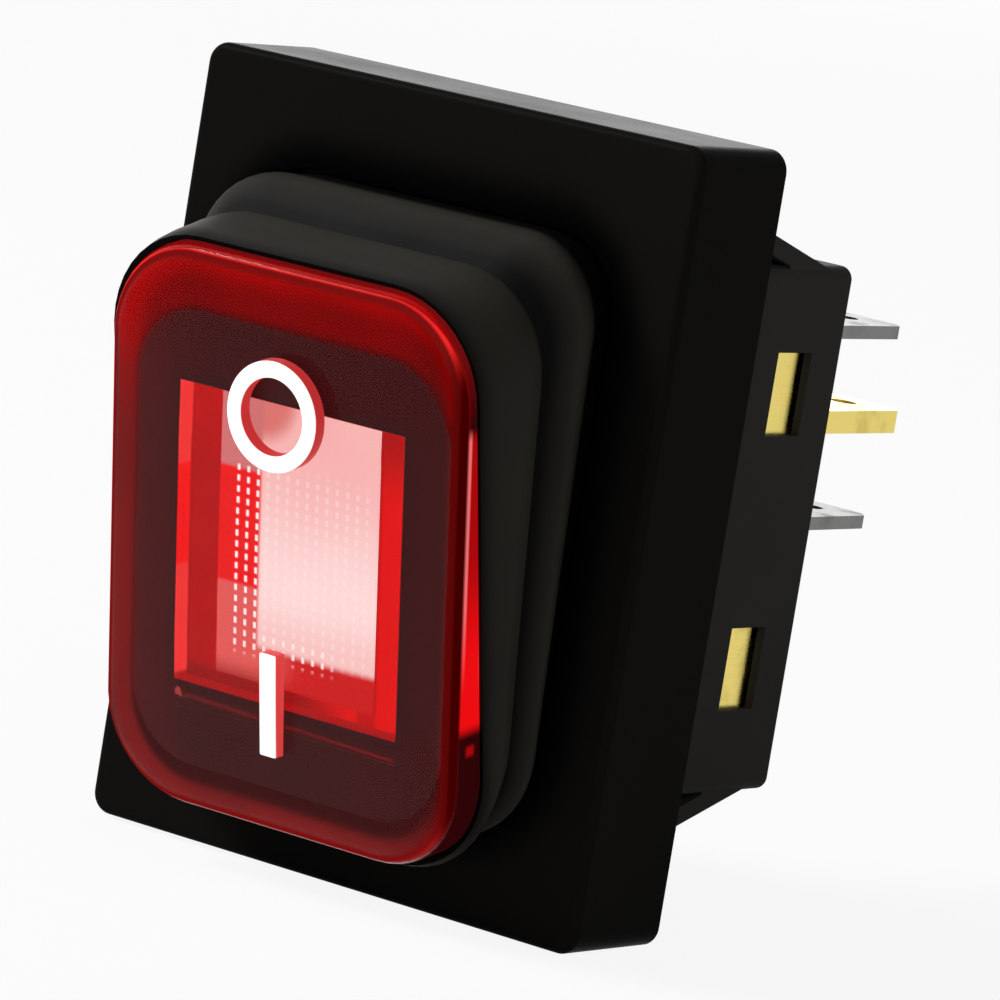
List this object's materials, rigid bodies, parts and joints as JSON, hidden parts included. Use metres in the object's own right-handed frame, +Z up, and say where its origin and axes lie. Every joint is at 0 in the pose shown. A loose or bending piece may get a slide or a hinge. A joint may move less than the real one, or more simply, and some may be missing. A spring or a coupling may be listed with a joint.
{
  "type": "illuminated rocker switch",
  "caption": "Panel rocker switch with a lit red lens, a sealing boot, snap wings and blade terminals.",
  "frame": {"origin": "centre of the flange's back face, which seats on the panel; the rocker's axis passes through it", "axes": "+Y to the rear, into the panel; +Z up along the long side; +X to the right seen from the front"},
  "size_m": [0.031, 0.0432, 0.04],
  "materials": {
    "black_plastic": "satin black moulding",
    "black_rubber": "soft matt black",
    "red_lens": "clear red, glossy",
    "white_inlay": "white, lit from behind",
    "dark_red_film": "dark smoked red",
    "red_tray": "glowing red",
    "milky_panel": "milky, lit from behind",
    "lamp_glass": "glow lamp",
    "resistor_body": "lacquered",
    "dark_plastic": "moulded",
    "brass": "pressed sheet",
    "spring_steel": "drawn wire",
    "pale_plastic": "low-friction moulding",
    "silver": "plated"
  },
  "bodies": {
    "housing": {"housing": "black_plastic", "panel_gasket": "black_rubber", "sealing_boot": "black_rubber", "load_terminal_left": "silver", "common_terminal_left": "silver", "lamp_terminal_left": "brass", "fixed_contact_left": "silver", "lamp_spring_left": "spring_steel", "load_terminal_right": "silver", "common_terminal_right": "silver", "lamp_terminal_right": "brass", "fixed_contact_right": "silver", "lamp_spring_right": "spring_steel"},
    "rocker": {"rocker_lens": "red_lens", "off_mark": "white_inlay", "on_mark": "white_inlay", "rocker_frame": "dark_plastic", "rocker_mask": "dark_red_film", "light_box": "red_tray", "diffuser": "milky_panel", "lamp": "lamp_glass", "resistor": "resistor_body", "lamp_pad_left": "brass", "plunger_spring_left": "spring_steel", "lamp_pad_right": "brass", "plunger_spring_right": "spring_steel"},
    "plunger_left": {"plunger_left": "pale_plastic"},
    "contact_arm_left": {"contact_arm_left": "brass", "moving_contact_left": "silver"},
    "plunger_right": {"plunger_right": "pale_plastic"},
    "contact_arm_right": {"contact_arm_right": "brass", "moving_contact_right": "silver"}
  },
  "joints": [
    {"name": "rocker_hinge", "type": "hinge", "parent": "housing", "child": "rocker", "pos_m": [0, 0, 0], "axis": [1, 0, 0], "range_deg": [-24, 0], "deforming": ["sealing_boot", "lamp_spring_left", "lamp_spring_right"]},
    {"name": "contact_arm_left_rock", "type": "hinge", "parent": "housing", "child": "contact_arm_left", "pos_m": [0, 0.0096, 0], "axis": [1, 0, 0], "range_deg": [0, 10]},
    {"name": "plunger_left_slide", "type": "slide", "parent": "rocker", "child": "plunger_left", "axis": [0, -0.9781, -0.2079], "range_m": [0, 0.0008], "stiffness_N_per_m": 800, "springref_m": -0.0008, "deforming": ["plunger_spring_left"]},
    {"name": "contact_arm_right_rock", "type": "hinge", "parent": "housing", "child": "contact_arm_right", "pos_m": [0, 0.0096, 0], "axis": [1, 0, 0], "range_deg": [0, 10]},
    {"name": "plunger_right_slide", "type": "slide", "parent": "rocker", "child": "plunger_right", "axis": [0, -0.9781, -0.2079], "range_m": [0, 0.0008], "stiffness_N_per_m": 800, "springref_m": -0.0008, "deforming": ["plunger_spring_right"]}
  ],
  "couplings": [
    {"joint": "contact_arm_left_rock", "follows": "rocker_hinge", "ratio": -0.4166},
    {"joint": "contact_arm_right_rock", "follows": "rocker_hinge", "ratio": -0.4166}
  ]
}
